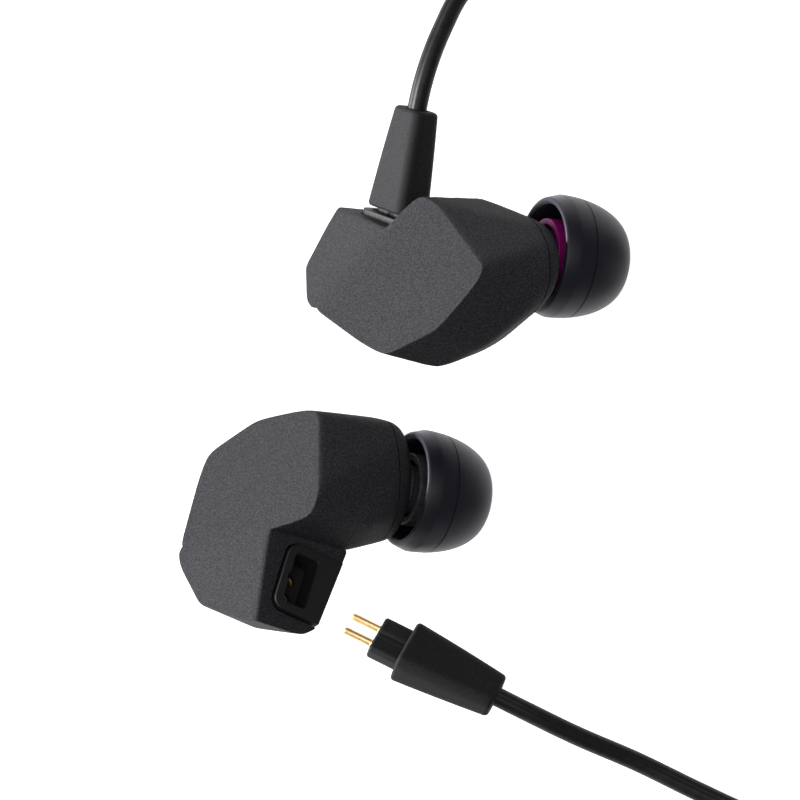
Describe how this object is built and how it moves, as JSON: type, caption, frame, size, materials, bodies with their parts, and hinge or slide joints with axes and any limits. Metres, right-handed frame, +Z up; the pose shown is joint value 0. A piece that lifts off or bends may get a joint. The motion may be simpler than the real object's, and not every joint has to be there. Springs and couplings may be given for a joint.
{
  "type": "in ear monitors",
  "caption": "Faceted in ear monitors with silicone ear tips and a detachable 2-pin cable, coiled, ending in a 3.5 mm plug.",
  "frame": {"origin": "on the table top, under the middle of the two earpieces and their connectors", "axes": "+Z up; +X the way the nozzles point, along the table; +Y towards the end of the right connector"},
  "size_m": [0.1043, 0.0988, 0.0216],
  "materials": {
    "shell": "fine-grained charcoal moulding, matte with a faint sparkle",
    "filter_mesh": "fine woven steel mesh",
    "silicone": "smooth satin silicone",
    "right_core": "satin magenta silicone",
    "left_core": "satin grey silicone",
    "black_plastic": "satin black moulding",
    "gold": "polished gold plating",
    "copper": "enamelled copper wire",
    "film": "thin pressed film",
    "steel": "plated magnet steel",
    "circuit_board": "green solder mask",
    "boot": "grained black soft-touch moulding",
    "cord": "satin black jacket",
    "tie": "black hook and loop tape"
  },
  "bodies": {
    "cable": {"right_connector_boot": "boot", "right_connector_shroud": "black_plastic", "right_connector_pin_a": "gold", "right_connector_pin_b": "gold", "left_connector_boot": "boot", "left_connector_shroud": "black_plastic", "left_connector_pin_a": "gold", "left_connector_pin_b": "gold", "cord_right": "cord", "cord_left": "cord", "cord_right_tail": "cord", "cord_left_tail": "cord", "cord_main": "cord", "cord_main_tail": "cord", "coil_right": "cord", "coil_left": "cord", "coil_main": "cord", "tie_branch": "tie", "tie_main": "tie", "plug_strain_relief": "boot", "plug_barrel": "black_plastic", "plug_sleeve": "gold", "plug_insulator_a": "black_plastic", "plug_ring": "gold", "plug_insulator_b": "black_plastic", "plug_tip": "gold", "y_split": "black_plastic"},
    "slider": {"slider": "black_plastic"},
    "right_earpiece": {"right_outer_shell": "shell", "right_inner_cover": "shell", "right_nozzle_filter": "filter_mesh", "right_socket_block": "black_plastic", "right_socket_contact_a": "gold", "right_socket_contact_b": "gold", "right_signal_wire_a": "copper", "right_signal_wire_b": "copper", "right_driver_frame": "black_plastic", "right_driver_magnet": "steel", "right_driver_yoke": "steel", "right_driver_board": "circuit_board"},
    "right_ear_tip": {"right_ear_tip_dome": "silicone", "right_ear_tip_core": "right_core"},
    "right_membrane": {"right_driver_diaphragm": "film", "right_driver_voice_coil": "copper"},
    "left_earpiece": {"left_outer_shell": "shell", "left_inner_cover": "shell", "left_nozzle_filter": "filter_mesh", "left_socket_block": "black_plastic", "left_socket_contact_a": "gold", "left_socket_contact_b": "gold", "left_signal_wire_a": "copper", "left_signal_wire_b": "copper", "left_driver_frame": "black_plastic", "left_driver_magnet": "steel", "left_driver_yoke": "steel", "left_driver_board": "circuit_board"},
    "left_ear_tip": {"left_ear_tip_dome": "silicone", "left_ear_tip_core": "left_core"},
    "left_membrane": {"left_driver_diaphragm": "film", "left_driver_voice_coil": "copper"}
  },
  "joints": [
    {"name": "right_unplug", "type": "slide", "parent": "cable", "child": "right_earpiece", "axis": [-0.1851, -0.9659, -0.1809], "range_m": [0, 0.0055]},
    {"name": "left_lift", "type": "slide", "parent": "cable", "child": "left_earpiece", "axis": [0, 0, 1], "range_m": [0, 0.02]},
    {"name": "right_tip_pull", "type": "slide", "parent": "right_earpiece", "child": "right_ear_tip", "axis": [0.9069, -0.097, -0.41], "range_m": [0, 0.006]},
    {"name": "left_tip_pull", "type": "slide", "parent": "left_earpiece", "child": "left_ear_tip", "axis": [0.9, -0.156, -0.407], "range_m": [0, 0.006]},
    {"name": "right_membrane_travel", "type": "slide", "parent": "right_earpiece", "child": "right_membrane", "axis": [0.9069, -0.097, -0.41], "range_m": [-0.00015, 0.00015], "stiffness_N_per_m": 20},
    {"name": "left_membrane_travel", "type": "slide", "parent": "left_earpiece", "child": "left_membrane", "axis": [0.9, -0.156, -0.407], "range_m": [-0.00015, 0.00015], "stiffness_N_per_m": 20},
    {"name": "slider_travel", "type": "slide", "parent": "cable", "child": "slider", "axis": [0, 1, 0], "range_m": [-0.0045, 0.0015]}
  ]
}
